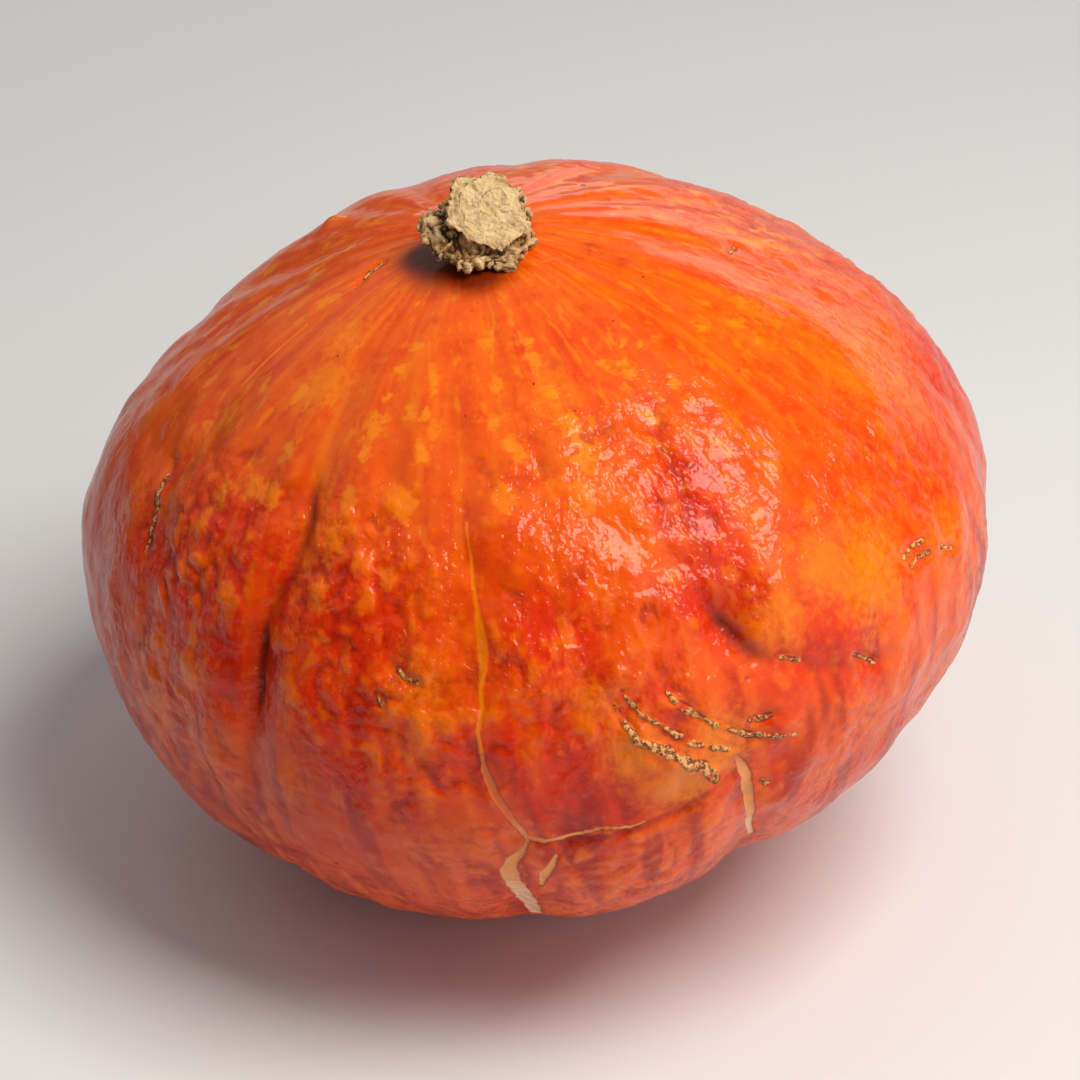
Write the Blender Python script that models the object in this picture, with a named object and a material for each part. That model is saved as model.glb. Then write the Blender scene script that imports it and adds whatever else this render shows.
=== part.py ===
"""A red kuri squash: the ribbed, onion-shaped fruit and the corky stub of its stem.

Metres, +Z up. The fruit stands on the ground at z = 0, on the small flat spot under its blossom end, and the
origin is under the middle of its box. The side that faces -Y is the front. A place on the skin is given by its
azimuth, in degrees round from the front towards +X, and its fall, in degrees down from the stem end. Both are
seen from the fruit's core and turn with its lean.
"""

import math

import bmesh
import bpy
import numpy as np
from mathutils import Matrix, Vector, noise

MM = 0.001

# The fruit's main form: a crown and a belly round one core, and the swollen blossom end that it stands on
FRUIT_WIDTH = 0.180
CROWN_RISE = 0.0685
CROWN_FULLNESS = 1.88
BELLY_DROP = 0.0640
BELLY_FULLNESS = 2.00
BUTTON_RADIUS = 0.058
BUTTON_DROP = 0.0692
BUTTON_FULLNESS = 3.0
CORE_HEIGHT = 0.0675
LEAN = 10.0

# The net of faces: meridians and rings all over, and how often the faces near a line are split in four
MERIDIANS = 84
RINGS = 44
FURROW_SPLIT_REACH = 4.5 * MM
SCAR_SPLIT_REACH = 2.6 * MM

# Furrows between the ribs: half width in millimetres, then azimuth, fall and depth in millimetres along each
FURROWS = (
    (5.0, ((-67, 16, 0.4), (-63, 30, 0.6), (-66, 44, 0.6), (-64, 57, 0.8), (-57, 68, 1.2),
           (-53, 78, 1.3), (-48, 88, 1.3), (-45, 99, 1.8), (-45, 112, 2.4), (-45, 124, 1.0))),
    (5.5, ((-25, 14, 0.2), (-31, 27, 0.4), (-33, 45, 0.7), (-32, 60, 1.7), (-34, 72, 2.4),
           (-35, 84, 2.2), (-37, 97, 1.8), (-39, 114, 1.0))),
    (4.5, ((3, 16, 0.2), (-1, 39, 0.3), (-4, 61, 0.5), (-4, 74, 0.6), (-5, 86, 0.8),
           (-3, 96, 1.4), (-6, 104, 2.2), (-7, 116, 2.4), (-7, 126, 0.8))),
    (5.5, ((20, 16, 0.2), (26, 34, 0.4), (29, 50, 1.0), (31, 58, 1.4), (30, 69, 1.5),
           (28, 80, 1.0), (25, 93, 1.6), (26, 107, 3.6), (29, 118, 4.0), (31, 129, 1.5))),
)

# The furrows behind run straighter: azimuth and greatest depth in millimetres
REAR_FURROWS = (
    (57, 0.9), (84, 1.2), (112, 1.1), (140, 1.3), (168, 1.1), (-162, 1.3), (-139, 1.1), (-116, 1.4), (-94, 1.1),
)
REAR_FURROW_HALF_WIDTH = 5.0
REAR_FURROW_WANDER = 3.0
REAR_FURROW_RUN = ((16, 0.3), (32, 0.8), (50, 1.0), (68, 1.0), (86, 1.1), (102, 1.3), (118, 0.6))

# Sharp creases: the deep slit of the front left furrow, the fold on the right and the ring of the blossom end
CREASES = (
    (1.8, ((-33, 60, 0.3), (-34, 67, 1.1), (-34, 75, 1.2), (-35, 83, 0.8), (-36, 90, 0.3))),
    (2.8, ((21, 65, 0.4), (25, 71, 1.5), (26, 76, 2.2), (29, 81, 1.7), (36, 85, 1.1), (44, 89, 0.9), (53, 91, 0.3))),
    (2.2, ((-4, 96, 0.5), (3, 97, 0.9), (10, 96, 0.9), (17, 96, 0.8), (24, 94, 0.8), (31, 96, 0.4))),
)

# The ring goes on round the rest of the blossom end
RING_FALL = 103.0
RING_WANDER = 3.0
RING_DEPTH = 0.8
RING_HALF_WIDTH = 3.0

# Low ridges on the front right, one half width and then azimuth, fall and height in millimetres
RIDGES = (
    (3.0, ((31, 40, 0.3), (25, 46, 0.9), (24, 52, 1.0), (25, 58, 0.7), (24, 64, 0.2))),
    (3.5, ((44, 49, 0.3), (42, 55, 1.0), (40, 60, 0.9), (37, 66, 0.3))),
    (3.0, ((33, 52, 0.2), (31, 62, 0.7), (27, 68, 0.2))),
)

# Broad swellings and hollows of the skin: azimuth, fall, spread in degrees and height in millimetres
SWELLINGS = (
    (40, 75, 11, 1.8),
    (11, 110, 9, 2.2),
    (3, 121, 9, 1.6),
    (-20, 116, 12, 1.2),
    (-88, 68, 14, 2.8),
    (-76, 92, 12, -2.2),
    (-58, 88, 12, -1.4),
    (-52, 99, 14, -1.6),
    (-108, 36, 11, -1.8),
    (-152, 41, 12, 1.6),
    (165, 36, 14, 1.4),
    (124, 60, 12, -1.4),
    (98, 46, 14, -2.0),
)

# Raised corky scars: half width and height in millimetres, then the places along each
SCARS = (
    (1.0, 0.7, ((13, 80), (15, 83), (17, 86), (21, 89), (24, 92))),
    (1.4, 0.9, ((12, 84), (15, 87), (16, 88), (19, 92), (21, 94))),
    (0.9, 0.6, ((18, 83), (21, 84), (22, 87), (27, 90), (32, 93))),
    (0.9, 0.6, ((58, 82), (61, 83), (64, 84))),
    (1.2, 0.7, ((-65, 57), (-63, 61), (-60, 66))),
    (0.8, 0.5, ((-14, 74), (-12, 73))),
)

# One wart: azimuth, fall, half width and height in millimetres
WART = (-135, 35, 3.2, 1.9)

# Fine ribs of the crown and soft knobs of the sides
FINE_RIBS = 26
FINE_RIB_HEIGHT = 0.35 * MM
KNOB_PITCH = 9 * MM
KNOB_HEIGHT = 1.4 * MM

# The small dimple with the blossom's scar, under the fruit and beside the point that it rests on
SCAR_DIMPLE_RADIUS = 6 * MM
SCAR_DIMPLE_DEPTH = 1.3 * MM

# The stem's stub: how it stands, and the outline of its corky sides from the foot to the cut face
STEM_PLACE = (10, 5.5)
STEM_AXIS = (0.22, -0.36, 0.90)
STEM_FACE_NORMAL = (0.12, -0.62, 0.78)
STEM_OUTLINE = (
    (0.0, -2.0), (5.0, -2.0), (7.6, -1.0), (8.2, 0.6), (9.6, 1.8), (10.2, 3.0), (9.6, 4.4), (8.3, 5.8),
    (7.8, 7.2), (8.0, 8.6), (7.8, 9.8), (6.9, 10.6), (4.0, 10.9), (0.0, 10.5),
)
STEM_SIDES = 44
STEM_RINGS = 28
STEM_GAP = 0.45 * MM

# Lobes of the stem's flared foot: angle from the front towards +X, height, spreads and reach in millimetres
STEM_LOBES = (
    (-95, 4.6, 22, 2.4, 3.2),
    (-50, 2.0, 20, 1.6, 1.4),
    (-10, 1.2, 16, 1.4, 0.8),
    (38, 0.2, 12, 2.4, 6.0),
    (72, 5.5, 22, 3.0, 1.4),
    (140, 2.6, 24, 2.0, 1.6),
    (-155, 3.0, 22, 2.0, 1.2),
)
STEM_GROOVES = 9
STEM_GROOVE_DEPTH = 0.7
STEM_ROUGHNESS = 1.7


def direction(azimuth, fall):
    """The unit vector from the fruit's core to a place on its skin."""
    turn = math.radians(azimuth)
    drop = math.radians(fall)
    return Vector((math.sin(turn) * math.sin(drop), -math.cos(turn) * math.sin(drop), math.cos(drop)))


def places(ways):
    """The azimuth and fall of each of these unit vectors."""
    azimuth = np.degrees(np.arctan2(ways[:, 0], -ways[:, 1]))
    fall = np.degrees(np.arccos(np.clip(ways[:, 2], -1, 1)))
    return azimuth, fall


def step(low, high, values):
    """A smooth step from 0 at low to 1 at high."""
    part = np.clip((values - low) / (high - low), 0, 1)
    return part * part * (3 - 2 * part)


def rough(ways, pitch, seed):
    """Smooth noise from about -1 to 1 over the skin, with lumps of this pitch."""
    scale = FRUIT_WIDTH / 2 / pitch
    shift = Vector((seed * 7.3, seed * 3.1, seed * 5.7))
    return np.array([noise.noise(Vector(way) * scale + shift) for way in ways])


def superellipse(across, along, half_width, half_height, fullness):
    """The reach of a superellipse in the direction whose parts across and along its axis are given."""
    sides = (across / half_width) ** fullness + (np.abs(along) / half_height) ** fullness
    return sides ** (-1 / fullness)


def main_form(ways):
    """The reach of the smooth fruit, without ribs, along each of these unit vectors."""
    across = np.hypot(ways[:, 0], ways[:, 1])
    along = ways[:, 2]
    crown = superellipse(across, along, FRUIT_WIDTH / 2, CROWN_RISE, CROWN_FULLNESS)
    belly = superellipse(across, along, FRUIT_WIDTH / 2, BELLY_DROP, BELLY_FULLNESS)
    upright = ways @ lean_matrix().T
    across = np.hypot(upright[:, 0], upright[:, 1])
    button = superellipse(across, upright[:, 2], BUTTON_RADIUS, BUTTON_DROP, BUTTON_FULLNESS)
    below = np.where(upright[:, 2] > 0, belly, np.maximum(belly, button))
    return np.where(along > 0, crown, below)


def lean_matrix():
    """The turn that leans the fruit's own axis over."""
    return np.array(Matrix.Rotation(math.radians(-LEAN), 3, "Y"))


def line_distance(ways, route, values):
    """How far each way passes a line on the skin, in metres, and the line's value at its nearest point."""
    points = np.array([direction(azimuth, fall) for azimuth, fall in route])
    starts = points[:-1]
    runs = points[1:] - starts
    offsets = ways[:, None, :] - starts[None, :, :]
    along = np.clip((offsets * runs).sum(2) / (runs * runs).sum(1), 0, 1)
    gaps = np.linalg.norm(offsets - along[:, :, None] * runs, axis=2)
    nearest = gaps.argmin(1)
    rows = np.arange(len(ways))
    share = along[rows, nearest]
    first = np.array(values[:-1])[nearest]
    last = np.array(values[1:])[nearest]
    return gaps[rows, nearest] * FRUIT_WIDTH / 2, first + (last - first) * share


def rear_furrow(azimuth, depth):
    """The route of a furrow behind, which wanders a little round its azimuth."""
    route = []
    for fall, share in REAR_FURROW_RUN:
        wander = REAR_FURROW_WANDER * noise.noise(Vector((azimuth, fall / 40, 0.5)))
        route.append((azimuth + wander, fall, depth * share))
    return route


def ring_route():
    """The ring round the blossom end where it is seen from the sides and from behind."""
    route = []
    for azimuth in range(35, 356, 8):
        wander = RING_WANDER * noise.noise(Vector((azimuth / 25, 2.5, 0.5)))
        route.append((azimuth, RING_FALL + wander, RING_DEPTH))
    return route


def all_furrows():
    """Every furrow and crease of the skin, as its half width and its route."""
    lines = list(FURROWS) + list(CREASES)
    lines += [(REAR_FURROW_HALF_WIDTH, rear_furrow(azimuth, depth)) for azimuth, depth in REAR_FURROWS]
    lines.append((RING_HALF_WIDTH, ring_route()))
    return lines


def line_relief(ways, half_width, route):
    """A bell-shaped rise along a line on the skin, from the millimetres given along it."""
    gaps, heights = line_distance(ways, [place[:2] for place in route], [place[2] for place in route])
    return heights * MM * np.exp(-((gaps / (half_width * MM)) ** 2))


def spot_relief(ways, azimuth, fall, spread, height):
    """A bell-shaped swelling round one place, with its spread in metres."""
    gaps = np.linalg.norm(ways - np.array(direction(azimuth, fall)), axis=1) * FRUIT_WIDTH / 2
    return height * MM * np.exp(-((gaps / spread) ** 2))


def fine_ribs(ways):
    """The narrow ribs that run down the crown and die out on the sides."""
    azimuth, fall = places(ways)
    wander = 1.6 * rough(ways, 60 * MM, 1)
    strength = 0.6 + 0.8 * rough(ways, 35 * MM, 2)
    window = step(8, 26, fall) * (1 - step(62, 95, fall))
    return FINE_RIB_HEIGHT * strength * window * np.cos(np.radians(azimuth) * FINE_RIBS + wander * 2)


def knobs(ways):
    """The soft knobs of the sides, which leave the crown smooth."""
    fall = places(ways)[1]
    window = 0.15 + 0.85 * step(34, 62, fall) * (1 - 0.5 * step(100, 125, fall))
    return KNOB_HEIGHT * window * rough(ways, KNOB_PITCH, 3)


def relief(ways):
    """How far the skin rises over the main form along each of these unit vectors."""
    rise = fine_ribs(ways) + knobs(ways)
    for half_width, route in all_furrows():
        rise -= line_relief(ways, half_width, route)
    for half_width, route in RIDGES:
        rise += line_relief(ways, half_width, route)
    for azimuth, fall, spread, height in SWELLINGS:
        rise += spot_relief(ways, azimuth, fall, math.radians(spread) * FRUIT_WIDTH / 2, height)
    azimuth, fall, half_width, height = WART
    rise += spot_relief(ways, azimuth, fall, half_width * MM, height)
    return rise * step(3, 12, places(ways)[1])


def scar_relief(ways):
    """The raised corky scars, broken up along their length."""
    rise = np.zeros(len(ways))
    broken = 0.75 + 0.5 * rough(ways, 2.5 * MM, 4)
    for half_width, height, route in SCARS:
        gaps, _ = line_distance(ways, route, [height] * len(route))
        rise = np.maximum(rise, height * MM * broken * np.exp(-((gaps / (half_width * MM)) ** 4)))
    return rise


def skin_reach(ways):
    """The reach of the finished skin from the core along each of these unit vectors."""
    return main_form(ways) + relief(ways) + scar_relief(ways)


def to_world(points):
    """Points in the leaning fruit's own frame, with its core at zero, as they stand on the ground."""
    stood = points @ lean_matrix().T
    stood[:, 2] += CORE_HEIGHT
    return stood


def split_near(shape, lines, reach):
    """Splits the faces near these lines in four and keeps every corner on the unit sphere."""
    faces = list(shape.faces)
    middles = np.array([face.calc_center_median().normalized() for face in faces])
    near = np.zeros(len(faces), dtype=bool)
    for route in lines:
        gaps, _ = line_distance(middles, [place[:2] for place in route], [0] * len(route))
        near |= gaps < reach
    edges = {edge for face, chosen in zip(faces, near) if chosen for edge in face.edges}
    bmesh.ops.subdivide_edges(shape, edges=sorted(edges, key=lambda edge: edge.index), cuts=1)
    for corner in shape.verts:
        corner.co.normalize()
    bmesh.ops.triangulate(shape, faces=list(shape.faces))
    shape.edges.index_update()


def unit_net():
    """A unit sphere of triangles, finer near the furrows and finest at the scars."""
    shape = bmesh.new()
    bmesh.ops.create_uvsphere(shape, u_segments=MERIDIANS, v_segments=RINGS, radius=1)
    bmesh.ops.triangulate(shape, faces=list(shape.faces))
    shape.edges.index_update()
    scars = [route for _, _, route in SCARS]
    low_furrows = [[place for place in route if place[1] >= 40] for _, route in FURROWS + CREASES]
    split_near(shape, low_furrows + scars, FURROW_SPLIT_REACH)
    wart = [(WART[0], WART[1]), (WART[0] + 1, WART[1])]
    split_near(shape, scars + [wart], SCAR_SPLIT_REACH + MM)
    split_near(shape, scars, SCAR_SPLIT_REACH)
    return shape


def blossom_scar(points):
    """Raises the ground contact into a small dimple round the end of the fruit's axis."""
    tip = to_world(np.array([[0.0, 0.0, -BUTTON_DROP]]))[0]
    gaps = np.hypot(points[:, 0] - tip[0], points[:, 1] - tip[1])
    low = points[:, 2] < SCAR_DIMPLE_DEPTH
    rise = SCAR_DIMPLE_DEPTH * (1 - step(0.3, 1.0, gaps / SCAR_DIMPLE_RADIUS))
    points[:, 2] = np.where(low, np.maximum(points[:, 2], rise), points[:, 2])


def fruit_points(ways):
    """Where the skin's corners stand: on the reach, no lower than the ground, with the dimple underneath."""
    points = to_world(ways * skin_reach(ways)[:, None])
    points[:, 2] = np.maximum(points[:, 2], 0)
    blossom_scar(points)
    return points


def stem_frame():
    """The middle of the stem's foot on the skin and the stem's unit axis, as they stand."""
    way = np.array([direction(*STEM_PLACE)])
    foot = to_world(way * skin_reach(way)[:, None])[0]
    return foot, Vector(STEM_AXIS).normalized()


def stem_radius(angle, height, radius):
    """The stem's radius in millimetres at an angle and height, with its lobes and grooves."""
    side = step(0, 8, radius)
    grown = radius
    for lobe_angle, lobe_height, spread, spread_up, reach in STEM_LOBES:
        turn = (math.degrees(angle) - lobe_angle + 180) % 360 - 180
        grown += side * reach * math.exp(-((turn / spread) ** 2) - ((height - lobe_height) / spread_up) ** 2)
    wander = 0.9 * noise.noise(Vector((math.cos(angle) * 1.3, math.sin(angle) * 1.3, height / 9)))
    groove = abs(math.sin(STEM_GROOVES / 2 * angle + 2 * wander))
    grown -= side * STEM_GROOVE_DEPTH * (1 - groove) ** 2
    spot = Vector((math.cos(angle) * radius, math.sin(angle) * radius, height * 0.8)) / 3.6
    return grown + side * STEM_ROUGHNESS * noise.noise(spot)


def stem_outline(share):
    """The plain outline's radius and height in millimetres, a share of the way from the foot to the face."""
    place = share * (len(STEM_OUTLINE) - 1)
    low = min(int(place), len(STEM_OUTLINE) - 2)
    part = place - low
    radius = STEM_OUTLINE[low][0] * (1 - part) + STEM_OUTLINE[low + 1][0] * part
    height = STEM_OUTLINE[low][1] * (1 - part) + STEM_OUTLINE[low + 1][1] * part
    return radius, height


def stem_point(way, foot, axis):
    """Where a corner of the unit sphere lies on the stem's stub."""
    angle = math.atan2(way.x, -way.y)
    share = 1 - math.acos(max(-1, min(1, way.z))) / math.pi
    radius, height = stem_outline(share)
    wide = stem_radius(angle, height, radius)
    bend = max(0, min(1, height / STEM_OUTLINE[-1][1]))
    normal = Vector((0, 0, 1)).lerp(Vector(STEM_FACE_NORMAL), bend).normalized()
    turn = Vector((0, 0, 1)).rotation_difference(normal)
    across = turn @ Vector((math.sin(angle), -math.cos(angle), 0))
    dent = 0.5 * noise.noise(Vector((math.sin(angle), math.cos(angle), 0)) * radius / 2.6 + Vector((4, 4, height)))
    return Vector(foot) + (axis * (height + dent * (1 if height > 9 else 0)) + across * wide) * MM


def clear_of_skin(points):
    """Pushes the stem's points out until they stand clear of the skin."""
    local = points - np.array((0, 0, CORE_HEIGHT))
    local = local @ lean_matrix()
    reach = np.linalg.norm(local, axis=1)
    ways = local / reach[:, None]
    reach = np.maximum(reach, main_form(ways) + relief(ways) + STEM_GAP)
    return to_world(ways * reach[:, None])


def stem_points(ways):
    """Where the stem's corners stand."""
    foot, axis = stem_frame()
    points = np.array([stem_point(Vector(way), foot, axis) for way in ways])
    return clear_of_skin(points)


def material(name, color, roughness):
    """A plain material of one colour."""
    made = bpy.data.materials.new(name)
    made.use_nodes = True
    shader = made.node_tree.nodes["Principled BSDF"]
    shader.inputs["Base Color"].default_value = (*color, 1)
    shader.inputs["Roughness"].default_value = roughness
    shader.inputs["Metallic"].default_value = 0
    return made


def add_object(name, shape, points, finish, group):
    """Makes a named object of this net with its corners moved to these points."""
    for corner, point in zip(shape.verts, points):
        corner.co = point
    mesh = bpy.data.meshes.new(name)
    shape.to_mesh(mesh)
    shape.free()
    mesh.shade_smooth()
    mesh.materials.append(finish)
    made = bpy.data.objects.new(name, mesh)
    group.objects.link(made)


def main():
    for thing in list(bpy.data.objects):
        bpy.data.objects.remove(thing)
    group = bpy.data.collections.new("red_kuri_squash")
    bpy.context.scene.collection.children.link(group)

    fruit_net = unit_net()
    skin = fruit_points(np.array([corner.co for corner in fruit_net.verts]))
    stem_net = bmesh.new()
    bmesh.ops.create_uvsphere(stem_net, u_segments=STEM_SIDES, v_segments=STEM_RINGS, radius=1)
    stub = stem_points(np.array([corner.co for corner in stem_net.verts]))

    middle = (skin.min(0) + skin.max(0)) / 2
    middle[2] = 0
    add_object("fruit", fruit_net, skin - middle, material("skin", (0.80, 0.12, 0.008), 0.30), group)
    add_object("stem", stem_net, stub - middle, material("cork", (0.55, 0.42, 0.22), 0.85), group)


main()
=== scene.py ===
"""A red kuri squash, dressed: the waxy, knobbly skin of its fruit and the dry cork of its stem's stub.

Metres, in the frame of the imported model. A place on the skin is given by its azimuth, in degrees round
from the front towards +X, and its fall, in degrees down from the stem end. Both are seen from the fruit's
core and turn with its lean.
"""

import math

import bpy
import numpy as np
from mathutils import Matrix, Vector, noise


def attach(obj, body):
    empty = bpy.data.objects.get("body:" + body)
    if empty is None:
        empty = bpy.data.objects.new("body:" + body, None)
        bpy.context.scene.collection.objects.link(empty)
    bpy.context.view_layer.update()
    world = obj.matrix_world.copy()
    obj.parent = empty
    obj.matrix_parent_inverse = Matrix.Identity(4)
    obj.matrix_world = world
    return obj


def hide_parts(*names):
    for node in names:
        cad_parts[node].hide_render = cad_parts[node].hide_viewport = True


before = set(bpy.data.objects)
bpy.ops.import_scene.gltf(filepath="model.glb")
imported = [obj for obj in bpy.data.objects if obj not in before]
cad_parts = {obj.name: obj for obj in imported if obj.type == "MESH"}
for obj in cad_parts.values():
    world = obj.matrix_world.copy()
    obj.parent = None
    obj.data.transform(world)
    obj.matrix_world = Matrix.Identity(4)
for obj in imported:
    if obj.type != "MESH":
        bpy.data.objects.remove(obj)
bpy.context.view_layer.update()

MM = 0.001

# The fruit's core, its lean in degrees, and the radius at which degrees are turned into lengths
CORE = (0.0, -0.0002, 0.0675)
LEAN = 10.0
SKIN_RADIUS = 90 * MM

# The skin's net: squares along each side of the cube that it starts from, and the ball it is drawn in from
SKIN_SQUARES = 92
START_RADIUS = 0.1

# The finer front of the net: its middle and half width in azimuth, and the falls that it lies between
FRONT_MIDDLE = 6
FRONT_HALF_WIDTH = 62
FRONT_FALL = (46, 112)

# Subdivision of the smooth copy of a CAD piece, and rounds of smoothing once the skin lies on it
GUIDE_LEVELS = 2
SMOOTH_ROUNDS = 3
SMOOTH_SHARE = 0.5

# Heights of the skin's own relief: soft bumps, knobs, grain, and pleats at the stem and on the crown
BUMP_HEIGHT = 0.35 * MM
LARGE_KNOB_HEIGHT = 0.60 * MM
SMALL_KNOB_HEIGHT = 0.28 * MM
GRAIN_HEIGHT = 0.06 * MM
STEM_PLEAT_HEIGHT = 0.06 * MM
STEM_PLEATS = 26
CROWN_PLEAT_HEIGHT = 0.03 * MM
CROWN_PLEATS = 46

# Sizes of the lumps in the relief, from the coarse wander of the pleats to the scars' crumbs
PLEAT_WANDER_PITCH = 30 * MM
PATCH_PITCH = 18 * MM
BUMP_PITCH = 6 * MM
SOFT_KNOB_PITCH = 6.5 * MM
LARGE_KNOB_PITCH = 5.2 * MM
SMALL_KNOB_PITCH = 2.6 * MM
GRAIN_PITCH = 2.4 * MM
SCAR_BREAK_PITCH = 2.4 * MM
SCAR_CRUMB_PITCH = 1.1 * MM
SCAR_EDGE_PITCH = 0.9 * MM
SUTURE_EDGE_PITCH = 2.2 * MM
SHADOW_BREAK_PITCH = 3 * MM
FLECK_EDGE_PITCH = 3.2 * MM

# Corky scars: the height of their crumbs, then azimuth, fall and half width along each, in millimetres
SCARS = (
    (0.40, ((17.5, 80.8, 0.25), (18.3, 82.4, 0.7), (19.5, 83.7, 0.8), (20.3, 84.7, 0.5), (21, 85.4, 0.3),
            (22.3, 86.8, 0.5), (23.6, 87.9, 0.3), (26.2, 90.2, 0.6), (28.1, 91, 0.5), (31.8, 92.6, 0.5))),
    (0.30, ((26.8, 88.3, 0.3), (27.8, 88.5, 0.6), (29.5, 88.5, 0.3))),
    (0.35, ((12.5, 79.4, 0.3), (13.6, 82, 0.45), (14.7, 83.2, 0.6), (15.9, 84.3, 0.35), (17.2, 86, 0.5),
            (18.4, 87.2, 0.7), (20.1, 88.5, 0.6), (21.9, 89.8, 0.6), (23.4, 90.8, 0.4))),
    (0.50, ((11.2, 80.5, 0.25), (11.9, 83.2, 0.5), (12.8, 85.2, 0.75), (14.0, 86.2, 0.8), (15.6, 87.2, 1.0),
            (16.9, 88.6, 0.6), (18.4, 90.2, 1.05), (20.4, 92.3, 1.1), (21.3, 94.6, 0.75))),
    (0.20, ((27.5, 98.4, 0.5), (28, 99, 0.45))),
    (0.20, ((32.5, 82.5, 0.3), (34.7, 84, 0.35))),
    (0.15, ((41.9, 86.8, 0.25), (43.5, 88.2, 0.35), (45, 89.9, 0.3))),
    (0.25, ((54.5, 81, 0.3), (57.5, 81, 0.5), (60, 81.5, 0.4))),
    (0.20, ((55, 82.5, 0.3), (57.5, 82.5, 0.4), (59, 83, 0.35))),
    (0.20, ((62, 84, 0.5), (64, 85.5, 0.3))),
    (0.40, ((-66.8, 57.0, 0.25), (-65.3, 59.4, 0.8), (-64.2, 61.2, 0.9), (-63.1, 63, 0.8),
            (-62.5, 65, 0.45), (-61.9, 68, 0.25))),
    (0.30, ((-14.2, 73.4, 0.45), (-13, 74.4, 0.35), (-11.6, 74.7, 0.5))),
    (0.25, ((-16.6, 76.2, 0.3), (-16.4, 77.2, 0.45))),
    (0.25, ((-69, 20, 0.4), (-72, 18, 0.7), (-74, 17, 0.7), (-77, 15, 0.4))),
    (0.15, ((91, 41, 0.3), (95, 42, 0.4))),
    (0.40, ((146, 84, 0.3), (149, 88, 0.8), (154, 90, 0.6), (158, 95, 0.3))),
    (0.35, ((-118, 62, 0.4), (-120, 66, 0.7), (-119, 70, 0.3))),
)
# The CAD fruit's scars are rounded ridges, which are pressed down before the crumbs go on
RIDGE_PRESS = 0.45 * MM
RIDGE_HALF_WIDTH = 1.2 * MM

# Pale sutures in the furrows: azimuth, fall and half width in millimetres along each
SUTURES = (
    ((-5, 84, 0.3), (-5, 86, 0.7), (-4.5, 88, 1.0), (-4, 90, 0.9), (-3, 93, 0.7), (-2, 96.5, 0.6),
     (0, 97.2, 0.5), (4, 97, 0.35), (7, 96.3, 0.35), (10, 97, 0.4), (12, 97, 0.2)),
    ((-2, 97, 0.3), (-3, 99, 0.6), (-4.7, 101, 1.2), (-5.5, 103, 1.8), (-5.5, 107, 2.0), (-5.2, 110, 2.1),
     (-5.5, 116, 2.0), (-6, 122, 1.5)),
    ((1, 99.5, 0.3), (0, 101.5, 0.8), (-1, 103, 1.0), (-2, 106, 0.5)),
    ((24.3, 92.6, 0.5), (25, 94.5, 1.0), (25.4, 97, 1.15), (25.8, 100, 1.1), (26.1, 103, 0.95),
     (27.5, 110, 0.7), (29.9, 117.5, 0.6)),
)
# Sutures behind: azimuth, first fall and width share of each; then how each runs on down and widens
REAR_SUTURES = (
    (84, 103, 0.5), (112, 97, 0.9), (140, 108, 0.6), (170, 100, 1.0), (-162, 106, 0.7), (-116, 98, 1.0),
    (-92, 105, 0.6), (-45, 104, 0.6),
)
REAR_SUTURE_RUN = ((0, 0.15), (4, 0.5), (8, 0.9), (13, 1.2), (18, 1.0), (24, 0.3))
REAR_SUTURE_WANDER = 2.5
SUTURE_DEPTH = 0.3 * MM

# Smooth yellow strips where the front furrow's suture hasn't opened
YELLOW_STRIPS = (
    ((-3.8, 56, 0.2), (-3.6, 61, 0.35), (-3.4, 65, 0.4), (-3.2, 68, 0.7), (-3, 71, 1.1), (-3.3, 73.5, 0.9),
     (-4, 76, 0.5), (-4, 78, 0.5), (-5, 81, 0.45), (-5, 84, 0.3)),
    ((-65, 30, 0.25), (-65, 37, 0.5), (-65, 43, 0.35)),
)

# Small brown specks: azimuth, fall and radius in millimetres
SPECKS = (
    (13, 38, 0.35), (19, 44, 0.3), (-43, 32, 0.35), (-3, 41, 0.3), (-28, 102, 0.5), (93, 42, 0.6),
    (133, 24, 0.9), (-135, 35, 1.2), (40, 33, 0.3), (62, 30, 0.4), (120, 50, 0.5), (170, 56, 0.4),
    (-152, 44, 0.6), (-96, 36, 0.5),
)

# Slits and folds: half width in millimetres, then azimuth, fall and depth in millimetres along each
SLITS = (
    (2.2, ((-34, 64, 0.2), (-35, 71, 0.5), (-35, 79, 0.5), (-36, 88, 0.2), (-37, 96, 0.1))),
    (0.8, ((-35, 68, 0.2), (-35, 72, 0.9), (-35, 78, 1.0), (-35.3, 82, 0.5), (-36, 86, 0.1))),
    (1.4, ((-32.4, 50, 0.1), (-32, 53, 0.6), (-30.5, 56, 0.7), (-31, 60, 0.3), (-31.8, 64, 0.5),
           (-34.5, 68, 0.3))),
    (1.5, ((24, 68, 0.0), (25.5, 72, 0.3), (27, 76, 0.8), (29, 80, 0.6), (32, 84, 0.2))),
    (1.4, ((30, 82, 0.2), (36, 85.5, 0.35), (44, 89, 0.35), (50, 91, 0.1))),
    (0.9, ((-4, 96, 0.1), (3, 98, 0.5), (10, 97.5, 0.6), (17, 97, 0.5), (24, 95, 0.4), (31, 97, 0.1))),
    (0.9, ((17, 79, 0.1), (19, 81, 0.5), (20, 82.5, 0.5), (21, 84, 0.1))),
    (1.8, ((31, 48, 0.1), (30, 54, 0.5), (30, 59, 0.45), (28, 64, 0.5), (28, 69, 0.4))),
)

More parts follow.
